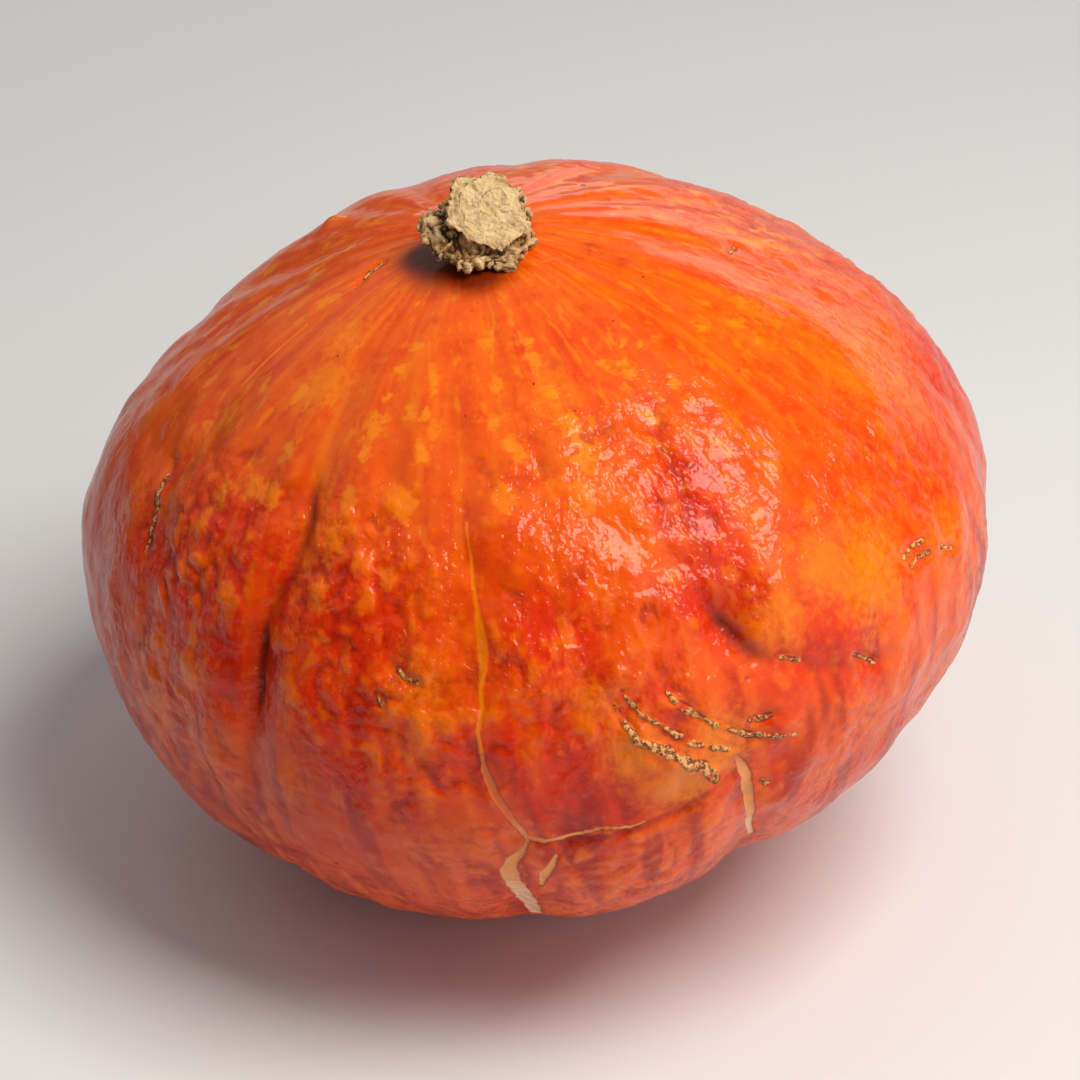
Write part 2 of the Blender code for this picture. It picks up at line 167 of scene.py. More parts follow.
# Patches of skin that are hammered all over: azimuth, fall, spread in degrees and strength
HAMMERED = (
    (28, 57, 14, 0.8), (12, 58, 11, 0.7), (8, 79, 16, 1.0), (23, 74, 10, 0.7), (-22, 66, 14, 1.3),
    (-14, 82, 14, 1.1), (-52, 66, 15, 1.3), (-56, 86, 18, 1.2), (4, 105, 24, 0.8), (-36, 106, 20, 0.8),
    (118, 74, 26, 1.0), (168, 62, 20, 1.0), (-140, 80, 22, 1.2), (80, 100, 16, 0.7), (150, 108, 22, 0.8),
    (-100, 106, 22, 0.8), (30, 76, 9, 0.9), (40, 92, 12, 0.7), (60, 70, 14, 0.4),
)

# Patches of broad colour: azimuth, fall, spread in degrees and strength
YELLOW_PATCHES = (
    (12.5, 87, 4, 1.0), (17, 92, 5, 1.0), (22, 90, 6, 0.8), (48, 79, 8, 0.75), (42, 75, 5, 0.7),
    (-12, 76, 6, 0.5), (9, 80, 4, 0.6), (33, 78, 5, 0.6), (15, 40, 6, 0.5), (16, 52, 6, 0.5),
    (-46, 28, 5, 0.6), (-41, 37, 6, 0.7), (-45, 78, 4, 0.5), (110, 84, 10, 0.7), (-150, 72, 10, 0.7),
    (165, 90, 8, 0.7), (-108, 60, 7, 0.5), (140, 44, 8, 0.5), (200, 40, 8, 0.5), (76, 62, 12, 0.5),
    (70, 48, 10, 0.4), (66, 84, 8, 0.5),
)
# Red patches; the one at azimuth -39, fall 71 beside the left slit is painted shade
RED_AND_SHADE_PATCHES = (
    (-46, 66, 11, 0.8), (-36, 74, 6, 0.9), (-39, 71, 8, 1.0), (-20, 70, 8, 0.7), (-10, 82, 6, 0.6),
    (-18, 84, 8, 0.8), (2, 84, 6, 1.0), (5, 90, 8, 0.9), (5, 73, 6, 0.6), (-24, 78, 6, 0.7),
    (29, 60, 5, 0.9), (27, 72, 6, 0.9), (33, 84, 6, 0.6), (-60, 69, 6, 0.7), (0, 102, 10, 0.4),
    (-75, 76, 10, 0.5), (92, 78, 12, 0.3), (-112, 82, 14, 0.8), (140, 66, 12, 0.6), (-165, 60, 10, 0.5),
    (175, 100, 14, 0.5),
)

# Patches of darker skin and painted shade, down the sides and beside the slits: azimuth, fall, spread in
# degrees and strength
DARK_SKIN_AND_SHADE_PATCHES = (
    (-80, 84, 24, 0.42), (-52, 100, 20, 0.32), (-37, 74, 6, 0.45), (28, 73, 4, 0.45), (-20, 96, 16, 0.22),
    (8, 89, 9, 0.32), (-30, 93, 12, 0.30), (150, 96, 26, 0.30), (-140, 98, 26, 0.35), (100, 100, 20, 0.25),
)

# Painted shadow on the skin in front of the stem's foot: azimuth, fall, spread in degrees and strength
STEM_SHADOW_PATCHES = (
    (-20, 9, 8, 1.0), (-42, 9, 6, 1.0), (3, 12, 6.5, 1.0), (5, 15, 4.5, 0.7), (60, 6, 5, 0.5),
    (0, 3, 8, 0.8),
)

# Light flecks in rows down the ribs: azimuth, fall and half width in millimetres
FLECKS = (
    (-24, 17, 0.6), (-25, 19, 0.6), (-11, 16, 0.6), (-11.5, 18.5, 0.8), (44, 16, 0.6), (50, 20, 0.5),
    (28, 19, 0.5), (-8, 19, 0.8), (-9, 25, 0.8), (-18, 29, 1.8), (-21, 33, 1.9), (-12, 34, 1.9),
    (-11, 36.5, 1.2), (4, 28, 1.7), (15, 30, 1.9), (15.5, 34, 2.1), (-1, 33, 1.0), (4, 37, 2.1),
    (16, 40, 2.3), (-16, 40, 1.8), (-12, 40, 1.6), (-22, 37, 1.4), (-23, 42, 2.7), (-23, 46, 2.5),
    (-12, 46, 2.4), (0, 42, 1.2), (3, 43, 1.7), (6, 47, 2.5), (15, 45, 1.4), (-40, 48, 2.2), (-60, 47, 2.0),
    (-65, 50, 1.6), (-58, 41, 1.6), (-46, 39, 2.0), (-40, 54, 2.9), (-49, 56, 2.4), (-50, 60, 2.1),
    (-24, 53, 2.4), (-25, 58, 3.4), (-26, 66, 2.8), (-16, 62, 1.8), (-14, 53, 3.0), (3, 54, 2.6),
    (90, 47, 1.2), (70, 44, 1.7), (56, 42, 1.7), (62, 45, 1.3), (62, 49, 1.3), (37, 37, 1.4), (41, 38, 1.3),
    (30, 39, 1.3), (34, 41, 2.1), (17, 46, 2.4), (17, 51, 2.6), (15, 57, 2.6), (32, 49, 1.9), (30, 53, 1.6),
    (40, 46, 1.5), (39, 57, 1.5), (43, 62, 1.9), (60, 68, 1.6), (62, 72, 1.6), (54, 72, 1.8), (80, 61, 1.2),
    (79, 63, 1.2), (37, 67, 2.0), (45, 69, 1.6), (42, 75, 2.8), (30, 71, 1.6), (-44, 54, 2.4),
    (-42, 67, 1.6), (-46, 74, 1.8), (-52, 78, 1.5), (-70, 62, 1.8), (-74, 70, 1.7),
)
REAR_FLECK_COUNT = 150
REAR_FLECK_SEED = 11
REAR_FLECK_AZIMUTHS = (95, 290)
REAR_FLECK_FALLS = (20, 80)
REAR_FLECK_SIZES = (0.9, 2.8)
FLECK_STRETCH = 1.35
FLECK_WANDER = 1.6

# Colours, as linear shares of red, green and blue
ORANGE = (0.90, 0.116, 0.001)
RED = (0.75, 0.028, 0.001)
DEEP_RED = (0.36, 0.007, 0.001)
YELLOW = (0.97, 0.255, 0.002)
KNOB_ORANGE = (0.98, 0.170, 0.001)
CREAM = (0.97, 0.60, 0.38)
PEACH = (0.93, 0.34, 0.10)
PALE_ORANGE = (0.88, 0.17, 0.030)
# Colour of the painted shadow on the skin in front of the stem's foot
STEM_FOOT_SHADOW = (0.07, 0.002, 0.001)
# Colour of the painted shade deep in the slits and folds
CREASE_SHADOW = (0.12, 0.003, 0.001)
SUTURE_OLIVE = (0.50, 0.22, 0.10)
CORK_PALE = (0.84, 0.42, 0.14)
CORK_DARK = (0.22, 0.050, 0.010)
# Colour of the painted shadow line along the scars' rims
SCAR_RIM_SHADOW = (0.09, 0.010, 0.002)
SPECK_BROWN = (0.12, 0.022, 0.005)
STEM_PALE = (0.90, 0.66, 0.36)
STEM_CREAM = (0.74, 0.50, 0.24)
STEM_TAN = (0.50, 0.28, 0.11)
STEM_BROWN = (0.24, 0.10, 0.035)
# Colour of the painted shade in the stem's crevices
STEM_CREVICE_SHADOW = (0.030, 0.012, 0.005)
FLOOR_COLOR = (0.80, 0.83, 0.88)
WARM_WHITE = (1.0, 0.93, 0.82)
SOFT_WHITE = (1.0, 0.96, 0.91)

# Pitches of the patterns in the rind's colour, in metres, and stretches of those that run down the ribs
DRIFT_PITCH = 0.019
BLOTCH_PITCH = 0.0052
MOTTLE_PITCH = 0.0017
SPECKLE_PITCH = 0.0011
CORK_PITCH = 0.0008
GLOSS_PITCH = 0.004
SUTURE_DRIFT_PITCH = 0.0030
STREAKS = (18, 18, 3.2)
SMALL_STREAKS = (20, 20, 14)
WRINKLE_STREAKS = (46, 46, 20)

# Pitches of the rind's bumps, in metres, and the stretch of its wrinkles
WRINKLES = (52, 52, 30)
FINE_BUMP_PITCH = 0.0017
PIT_PITCH = 0.0011
DENT_PITCH = 0.0035
ROUGH_PATCH_PITCH = 0.0065

# Heights of the rind's bumps, in metres, in full in its wax and fainter in the flesh under it
WRINKLE_DEPTH = 0.00070
BUMP_DEPTH = 0.00065
PIT_DEPTH = 0.00013
DENT_DEPTH = 0.00022
CRUMB_DEPTH = 0.00060
FLESH_BUMP_DEPTH = 0.00030

# Pitches of the patterns in the stem's colour and bumps, and the height of its bumps, in metres
STEM_DRIFT_PITCH = 0.0022
STEM_PORE_PITCH = 0.0006
STEM_FINE_PITCH = 0.0009
STEM_FINE_DEPTH = 0.0009

# The stem's stub: its foot, its axis and the way that its cut face looks
STEM_FOOT = (-0.01075, -0.00666, 0.1349)
STEM_AXIS = (0.2213, -0.3622, 0.9054)
STEM_FACE_NORMAL = (0.12, -0.62, 0.78)
STEM_SINK = 0.5 * MM

# How far its waist and its neck are drawn in, and how high its neck is in millimetres
STEM_WAIST = 0.52
STEM_NECK = 0.12
STEM_NECK_HEIGHT = 6.6

# Its cork's lumps, fibres, crumbs and grit: pitches in millimetres, and how the fibres stretch and bend
STEM_LUMP_PITCH = 3.0
STEM_FIBRE_PITCH = 1.3
STEM_FIBRE_STRETCH = (1, 1, 3.4)
STEM_FIBRE_BEND = 1.6
STEM_CRUMB_PITCH = 1.3
STEM_GRIT_PITCH = 0.7

# How high lumps, fibres, crumbs and grit stand in millimetres, and how far the whole is sunk in return
STEM_SIDES = (0.75, 1.8, 0.35, 0.25, 0.60)
STEM_LIP = (0.50, 0.7, 0.6, 0.30, 0.35)
STEM_TOP = (0.80, 0.0, 0.50, 0.30, 0.25)
STEM_RING_HEIGHT = 0.32
STEM_RING_MIDDLE = 0.8

# Softboxes: name, direction from the fruit's core, distance, width and height, watts and colour
SOFTBOXES = (
    ("softbox_above", (0.40, -0.27, 0.88), 0.9, (0.5, 0.5), 8.2, WARM_WHITE),
    ("softbox_overhead", (-0.50, 0.30, 0.81), 1.2, (2.0, 2.0), 4.6, SOFT_WHITE),
    ("softbox_right", (0.78, -0.56, 0.28), 1.1, (1.4, 0.9), 3.2, SOFT_WHITE),
    ("softbox_behind", (0.45, 0.88, 0.25), 1.5, (2.4, 0.45), 4.2, SOFT_WHITE),
)
SURROUNDING_LIGHT = 0.05
FLOOR_SIZE = 8
FLOOR_HEIGHT = -0.1 * MM

# The photograph's view: elevation in degrees, distance and target in metres, and the width seen there
VIEW_ELEVATION = 32
VIEW_DISTANCE = 0.75
VIEW_TARGET = (0.0011, 0, 0.0655)
VIEW_WIDTH = 0.2139
SENSOR_WIDTH = 36.0


def direction(azimuth, fall):
    """The unit vector from the fruit's core to a place on its skin."""
    turn = math.radians(azimuth)
    drop = math.radians(fall)
    return Vector((math.sin(turn) * math.sin(drop), -math.cos(turn) * math.sin(drop), math.cos(drop)))


def places(ways):
    """The azimuth and fall of each of these unit vectors."""
    azimuth = np.degrees(np.arctan2(ways[:, 0], -ways[:, 1]))
    fall = np.degrees(np.arccos(np.clip(ways[:, 2], -1, 1)))
    return azimuth, fall


def lean_matrix():
    """The turn that leans the fruit's own axis over."""
    return np.array(Matrix.Rotation(math.radians(-LEAN), 3, "Y"))


def step(low, high, values):
    """A smooth step from 0 at low to 1 at high."""
    part = np.clip((values - low) / (high - low), 0, 1)
    return part * part * (3 - 2 * part)


def rough(ways, pitch, seed):
    """Smooth noise from about -1 to 1 over the skin, with lumps of this pitch in metres."""
    scale = SKIN_RADIUS / pitch
    shift = Vector((seed * 7.3, seed * 3.1, seed * 5.7))
    return np.array([noise.noise(Vector(way) * scale + shift) for way in ways])


def pillows(ways, pitch, seed):
    """Rounded lumps from 0 to about 1 with narrow valleys between them."""
    return 2 * np.abs(rough(ways, pitch, seed))


def line_gaps(ways, route):
    """How far each way passes a line on the skin, in metres, and the line's value at its nearest point."""
    points = np.array([direction(azimuth, fall) for azimuth, fall, _ in route])
    values = np.array([value for _, _, value in route])
    gaps = np.full(len(ways), np.inf)
    nearest = np.zeros(len(ways))
    for start, end, first, last in zip(points[:-1], points[1:], values[:-1], values[1:]):
        run = end - start
        along = np.clip(((ways - start) @ run) / (run @ run), 0, 1)
        gap = np.linalg.norm(ways - start - along[:, None] * run, axis=1) * SKIN_RADIUS
        closer = gap < gaps
        gaps = np.where(closer, gap, gaps)
        nearest = np.where(closer, first + (last - first) * along, nearest)
    return gaps, nearest


def patches(ways, table):
    """The strength of these broad patches at each way, 1 at the middle of a full one."""
    strength = np.zeros(len(ways))
    for azimuth, fall, spread, height in table:
        gaps = np.linalg.norm(ways - np.array(direction(azimuth, fall)), axis=1) / math.radians(spread)
        strength = np.maximum(strength, height * np.exp(-(gaps ** 2)))
    return strength


def rear_flecks():
    """More flecks for the sides and the back, strewn at random but the same each run."""
    dice = np.random.default_rng(REAR_FLECK_SEED)
    azimuths = dice.uniform(*REAR_FLECK_AZIMUTHS, REAR_FLECK_COUNT)
    falls = dice.uniform(*REAR_FLECK_FALLS, REAR_FLECK_COUNT)
    sizes = dice.uniform(*REAR_FLECK_SIZES, REAR_FLECK_COUNT)
    return tuple(zip(azimuths, falls, sizes))


def fleck_cover(ways):
    """How strongly the light flecks show; they are longer down the ribs than across them."""
    azimuth, fall = places(ways)
    azimuth = azimuth + FLECK_WANDER * rough(ways, FLECK_EDGE_PITCH, 22)
    fall = fall + FLECK_WANDER * rough(ways, FLECK_EDGE_PITCH, 23)
    across = np.sin(np.radians(fall)) * SKIN_RADIUS / MM
    cover = np.zeros(len(ways))
    for place, drop, size in FLECKS + rear_flecks():
        turn = np.radians((azimuth - place + 180) % 360 - 180) * across
        down = np.radians(fall - drop) * SKIN_RADIUS / MM
        gaps = np.hypot(turn / size, down / (size * FLECK_STRETCH))
        cover = np.maximum(cover, np.exp(-(gaps ** 2)))
    return cover


def rear_suture(azimuth, first_fall, share):
    """The route of a pale suture in a furrow behind, which bends at random but the same each run."""
    return tuple((azimuth + REAR_SUTURE_WANDER * noise.noise(Vector((azimuth, drop / 7, 0.5))),
                  first_fall + drop, share * width)
                 for drop, width in REAR_SUTURE_RUN)


def all_sutures():
    """Every pale suture of the skin."""
    return SUTURES + tuple(rear_suture(*row) for row in REAR_SUTURES)


def corners_of(mesh):
    """The mesh's corners as rows of x, y and z."""
    values = np.zeros(len(mesh.vertices) * 3)
    mesh.vertices.foreach_get("co", values)
    return values.reshape(-1, 3)


def move_corners(mesh, points):
    """Puts the mesh's corners at these points."""
    mesh.vertices.foreach_set("co", points.astype(np.float32).ravel())
    mesh.update()


def normals_of(mesh):
    """The mesh's corner normals."""
    values = np.zeros(len(mesh.vertices) * 3)
    mesh.vertex_normals.foreach_get("vector", values)
    return values.reshape(-1, 3)


def add_values(mesh, name, values):
    """Stores a number for each corner, for the materials to read."""
    layer = mesh.attributes.new(name, "FLOAT", "POINT")
    layer.data.foreach_set("value", values.astype(np.float32))


def choose_only(thing):
    """Selects this object alone and makes it active."""
    bpy.ops.object.select_all(action="DESELECT")
    thing.select_set(True)
    bpy.context.view_layer.objects.active = thing


def apply_modifier(thing, kind, **settings):
    """Adds a modifier with these settings and applies it."""
    choose_only(thing)
    modifier = thing.modifiers.new(kind.lower(), kind)
    for name, value in settings.items():
        setattr(modifier, name, value)
    bpy.ops.object.modifier_apply(modifier=modifier.name)


def guide_from(node, name):
    """A merged, smooth copy of a CAD node, to model a finer piece from."""
    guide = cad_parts[node].copy()
    guide.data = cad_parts[node].data.copy()
    guide.name = name
    guide.parent = None
    guide.data.materials.clear()
    for key in list(guide.keys()):
        del guide[key]
    bpy.context.scene.collection.objects.link(guide)
    choose_only(guide)
    bpy.ops.object.mode_set(mode="EDIT")
    bpy.ops.mesh.select_all(action="SELECT")
    bpy.ops.mesh.remove_doubles(threshold=0.000001)
    bpy.ops.object.mode_set(mode="OBJECT")
    bpy.ops.object.shade_smooth()
    apply_modifier(guide, "SUBSURF", levels=GUIDE_LEVELS, render_levels=GUIDE_LEVELS)
    return guide


def cube_ball():
    """A unit ball whose faces are squares of nearly one size, made from a cube."""
    bpy.ops.object.select_all(action="DESELECT")
    bpy.ops.mesh.primitive_cube_add(size=2)
    ball = bpy.context.active_object
    bpy.ops.object.mode_set(mode="EDIT")
    bpy.ops.mesh.select_all(action="SELECT")
    bpy.ops.mesh.subdivide(number_cuts=SKIN_SQUARES - 1)
    bpy.ops.object.mode_set(mode="OBJECT")
    round_off(ball.data, np.tan(corners_of(ball.data) * math.pi / 4))
    return ball


def round_off(mesh, points):
    """Puts the corners on the unit sphere, in the direction of these points."""
    move_corners(mesh, points / np.linalg.norm(points, axis=1)[:, None])


def split_squares(ball, chosen):
    """Splits the faces that the function chooses by their middles in four, in edit mode."""
    faces = ball.data.polygons
    middles = np.zeros(len(faces) * 3)
    faces.foreach_get("center", middles)
    ways = middles.reshape(-1, 3)
    ways /= np.linalg.norm(ways, axis=1)[:, None]
    choose_only(ball)
    bpy.ops.object.mode_set(mode="EDIT")
    bpy.ops.mesh.select_mode(type="FACE")
    bpy.ops.mesh.select_all(action="DESELECT")
    bpy.ops.object.mode_set(mode="OBJECT")
    faces.foreach_set("select", chosen(ways))
    bpy.ops.object.mode_set(mode="EDIT")
    bpy.ops.mesh.subdivide(number_cuts=1, ngon=False)
    bpy.ops.object.mode_set(mode="OBJECT")
    round_off(ball.data, corners_of(ball.data))


def on_front(ways):
    """Which of these ways look at the front, which shows the finest relief."""
    azimuth, fall = places(ways)
    wide = np.abs(azimuth - FRONT_MIDDLE) < FRONT_HALF_WIDTH
    return wide & (fall > FRONT_FALL[0]) & (fall < FRONT_FALL[1])


def near_lines(ways):
    """Which of these ways are at a scar, a suture, a yellow strip or a speck."""
    near = np.zeros(len(ways), dtype=bool)
    for route in [scar for _, scar in SCARS] + list(all_sutures()) + list(YELLOW_STRIPS):
        gaps, widths = line_gaps(ways, route)
        near |= gaps < widths * MM * 1.3 + 0.5 * MM
    for azimuth, fall, radius in SPECKS:
        gaps = np.linalg.norm(ways - np.array(direction(azimuth, fall)), axis=1) * SKIN_RADIUS
        near |= gaps < radius * MM + 1.0 * MM
    return near


def on_front_or_lines(ways):
    """Which of these ways get finer faces."""
    return on_front(ways) | near_lines(ways)


def skin_net():
    """The skin's net of faces, as a unit ball: finer in front, finest at the thin lines."""
    ball = cube_ball()
    split_squares(ball, on_front_or_lines)
    split_squares(ball, near_lines)
    return ball


def knobs(ways):
    """The large and small knobs of the hammered patches, below 0 in their valleys and above 0 on top."""
    hammered = np.clip(patches(ways, HAMMERED) + 0.25 * rough(ways, PATCH_PITCH, 11), 0, 1.4)
    soft = 0.50 * rough(ways, SOFT_KNOB_PITCH, 24)
    large = hammered * (0.65 * (pillows(ways, LARGE_KNOB_PITCH, 13) - 0.45) + soft)
    small = hammered * (pillows(ways, SMALL_KNOB_PITCH, 14) - 0.4)
    return large, small


def skin_relief(ways, large, small):
    """How far the fine relief rises over the CAD fruit along each way."""
    azimuth, fall = places(ways)
    sides = step(30, 58, fall)
    rise = BUMP_HEIGHT * sides * rough(ways, BUMP_PITCH, 12)
    rise += LARGE_KNOB_HEIGHT * large + SMALL_KNOB_HEIGHT * small
    rise += GRAIN_HEIGHT * sides * (pillows(ways, GRAIN_PITCH, 15) - 0.4)
    rise += pleats(azimuth, fall, ways)
    for half_width, route in SLITS:
        gaps, depths = line_gaps(ways, route)
        rise -= depths * MM * np.exp(-((gaps / (half_width * MM)) ** 2))
    return rise - pressed_ridges(ways)


def pressed_ridges(ways):
    """How far the CAD fruit's rounded ridges are pressed down along the scars."""
    press = np.zeros(len(ways))
    for _, route in SCARS:
        gaps, half_widths = line_gaps(ways, route)
        thin = 1 - step(0.6, 1.2, half_widths)
        press = np.maximum(press, thin * np.exp(-((gaps / RIDGE_HALF_WIDTH) ** 4)))
    return RIDGE_PRESS * press


def pleats(azimuth, fall, ways):
    """The narrow pleats that run out from under the stem, and the faint ribs of the crown."""
    wander = 2.2 * rough(ways, PLEAT_WANDER_PITCH, 16)
    near_stem = step(4, 8, fall) * (1 - step(14, 26, fall))
    crown = step(10, 22, fall) * (1 - step(45, 70, fall))
    rise = STEM_PLEAT_HEIGHT * near_stem * np.cos(np.radians(azimuth) * STEM_PLEATS + wander)
    return rise + CROWN_PLEAT_HEIGHT * crown * np.cos(np.radians(azimuth) * CROWN_PLEATS + 2 * wander)


def cover_of(gaps, half_widths, ragged):
    """How far a line of these half widths in millimetres covers each place, with a ragged edge."""
    edge = gaps / MM + ragged * np.maximum(half_widths, 0.3)
    return 1 - step(0.65, 1.25, edge / np.maximum(half_widths, 0.05))


def scar_cover(ways):
    """The scars' cover and their rise in metres, broken into crumbs along their length."""
    cover = np.zeros(len(ways))
    rise = np.zeros(len(ways))
    ragged = 0.95 * rough(ways, SCAR_EDGE_PITCH, 17)
    broken = step(-0.52, -0.10, rough(ways, SCAR_BREAK_PITCH, 18))
    crumbs = pillows(ways, SCAR_CRUMB_PITCH, 19)
    for height, route in SCARS:
        gaps, half_widths = line_gaps(ways, route)
        here = cover_of(gaps, half_widths, ragged) * np.maximum(broken, step(0.7, 1.2, half_widths))
        cover = np.maximum(cover, here)
        rise = np.maximum(rise, height * MM * here * (0.4 + crumbs))
    return cover, rise


def suture_cover(ways, routes):
    """The cover of these sutures or strips."""
    cover = np.zeros(len(ways))
    ragged = 0.25 * rough(ways, SUTURE_EDGE_PITCH, 20)
    for route in routes:
        gaps, half_widths = line_gaps(ways, route)
        cover = np.maximum(cover, cover_of(gaps, half_widths, ragged))
    return cover


def scar_shadow(ways):
    """The painted shadow line along the scars' rims."""
    shadow = np.zeros(len(ways))
    for _, route in SCARS:
        gaps, half_widths = line_gaps(ways, route)
        shadow = np.maximum(shadow, np.exp(-(((gaps / MM - half_widths * 1.15) / 0.35) ** 2)))
    return shadow * step(-0.2, 0.4, rough(ways, SHADOW_BREAK_PITCH, 21))


def speck_cover(ways):
    """The small brown specks."""
    cover = np.zeros(len(ways))
    for azimuth, fall, radius in SPECKS:
        gaps = np.linalg.norm(ways - np.array(direction(azimuth, fall)), axis=1) * SKIN_RADIUS
        cover = np.maximum(cover, np.exp(-((gaps / (radius * MM)) ** 2)))
    return cover


def slit_depth(ways):
    """How deep in a slit or fold each place is, from 0 to 1."""
    deep = np.zeros(len(ways))
    for half_width, route in SLITS:
        gaps, depths = line_gaps(ways, route)
        near = np.exp(-((gaps / (half_width * 1.3 * MM)) ** 2))
        deep = np.maximum(deep, np.clip(depths / 0.8, 0, 1) * near)
    return deep


def model_fruit():
    """The fruit's skin: a ball drawn in to the CAD fruit by Shrinkwrap, with fine relief of its own."""
    guide = guide_from("fruit", "fruit_guide")
    skin = skin_net()
    skin.name = "fruit_skin"
    ways = corners_of(skin.data)
    move_corners(skin.data, ways @ lean_matrix().T * START_RADIUS + np.array(CORE))
    apply_modifier(skin, "SHRINKWRAP", target=guide, wrap_method="PROJECT", use_negative_direction=True,
                   use_positive_direction=False)
    bpy.data.objects.remove(guide)
    apply_modifier(skin, "SMOOTH", factor=SMOOTH_SHARE, iterations=SMOOTH_ROUNDS)

    scars, scar_rise = scar_cover(ways)
    sutures = suture_cover(ways, all_sutures())
    strips = suture_cover(ways, YELLOW_STRIPS)
    large, small = knobs(ways)
    rise = skin_relief(ways, large, small) * (1 - 0.8 * np.maximum(sutures, strips)) + scar_rise
    rise -= SUTURE_DEPTH * sutures
    rise *= step(3, 9, places(ways)[1])
    points = corners_of(skin.data) + ways @ lean_matrix().T * rise[:, None]
    points[:, 2] = np.maximum(points[:, 2], 0)
    move_corners(skin.data, points)

    store_skin_values(skin.data, ways, scars, sutures, strips)
    # The knobs' heights, which the material shows as deep red valleys and lighter tops, partly painted
    # shade and light
    crest = 0.8 * large + 0.4 * small + 0.3 * rough(ways, BUMP_PITCH, 12)
    add_values(skin.data, "crest", np.clip(0.5 + 0.5 * crest, 0, 1))
    choose_only(skin)
    bpy.ops.object.shade_smooth()
    skin.data.materials.append(skin_material())
    return skin


def store_skin_values(mesh, ways, scars, sutures, strips):
    """Stores what the skin's material reads: the covers, the patches and the way that the flecks run."""
    azimuth, fall = places(ways)
    add_values(mesh, "scar", scars)
    add_values(mesh, "scar_shadow", scar_shadow(ways))
    add_values(mesh, "suture", sutures)
    add_values(mesh, "strip", strips)
    # The slits' depth, which the material paints as shade
    add_values(mesh, "slit", slit_depth(ways))
    add_values(mesh, "yellow", patches(ways, YELLOW_PATCHES))
    add_values(mesh, "red", patches(ways, RED_AND_SHADE_PATCHES))
    add_values(mesh, "fleck", fleck_cover(ways))
    add_values(mesh, "hammered", patches(ways, HAMMERED))
    add_values(mesh, "speck", speck_cover(ways))
    # Darker skin and painted shade down the sides and beside the slits
    add_values(mesh, "dark", patches(ways, DARK_SKIN_AND_SHADE_PATCHES))
    # Where the painted shadow of the stem's foot lies
    add_values(mesh, "stem_shadow", patches(ways, STEM_SHADOW_PATCHES))
    add_values(mesh, "fall", fall / 180)
    turn = np.radians(azimuth)
    flow = np.column_stack((np.sin(turn), -np.cos(turn), np.radians(fall)))
    layer = mesh.attributes.new("flow", "FLOAT_VECTOR", "POINT")
    layer.data.foreach_set("vector", flow.astype(np.float32).ravel())


def strewn(spots, pitch, seed, stretch=(1, 1, 1)):
    """Smooth noise at these spots, in millimetres, with lumps of this pitch."""
    shift = Vector((seed * 3.7, seed * 1.9, seed * 5.3))
    scale = Vector([1 / (pitch * part) for part in stretch])
    return np.array([noise.noise(spot * scale + shift) for spot in spots])


def narrowed_stub(mesh):
    """Draws in the stub's waist and neck and sinks it; gives its corners along its axis, in millimetres."""
    axis = np.array(Vector(STEM_AXIS).normalized())
    stand = np.array(Vector((0, 0, 1)).rotation_difference(Vector(axis)).to_matrix())
    local = (corners_of(mesh) - np.array(STEM_FOOT)) @ stand / MM
    height = local[:, 2]
    waist = 1 - STEM_WAIST * (1 - step(0.4, 3.2, height)) * step(-3.5, -1.0, height)
    neck = 1 - STEM_NECK * np.exp(-(((height - STEM_NECK_HEIGHT) / 1.5) ** 2))
    local[:, :2] *= (waist * neck)[:, None]
    move_corners(mesh, local @ stand.T * MM + np.array(STEM_FOOT) - axis * STEM_SINK)
    return local


def cork_rise(heights, lumps, fibre, crumb, grit):
    """How far one part of the stub rises, in millimetres."""
    lump_height, fibre_height, crumb_height, grit_height, sink = heights
    rise = lump_height * lumps + fibre_height * np.abs(fibre)
    rise += crumb_height * np.abs(crumb) + grit_height * np.abs(grit)
    return rise - sink


def stem_noises(local):
    """The lumps, fibres, crumbs and grit of the stem's cork at these corners."""
    spots = [Vector(spot) for spot in local]
    lumps = strewn(spots, STEM_LUMP_PITCH, 3)
    bent = [spot + Vector((lump, -lump, 0.6 * lump)) * STEM_FIBRE_BEND for spot, lump in zip(spots, lumps)]
    fibre = strewn(bent, STEM_FIBRE_PITCH, 4, STEM_FIBRE_STRETCH)
    return lumps, fibre, strewn(spots, STEM_CRUMB_PITCH, 1), strewn(spots, STEM_GRIT_PITCH, 2)


def stem_crevice_shade(fibre, crumb, cut, ring, rings):
    """How much painted shade each place gets, between the fibres and crumbs and in the cracks of the cut.
    """
    gaps = (1 - step(0.03, 0.22, np.abs(fibre))) * (1 - cut)
    gaps = np.maximum(gaps, 0.8 * (1 - step(0.02, 0.10, np.abs(crumb))) * (1 - 0.5 * cut))
    cracks = (1 - step(0.0, 0.30, np.abs(np.sin(ring / 2)))) * cut * step(-0.6, 0.6, rings)
    return np.maximum(gaps, 0.9 * cracks)


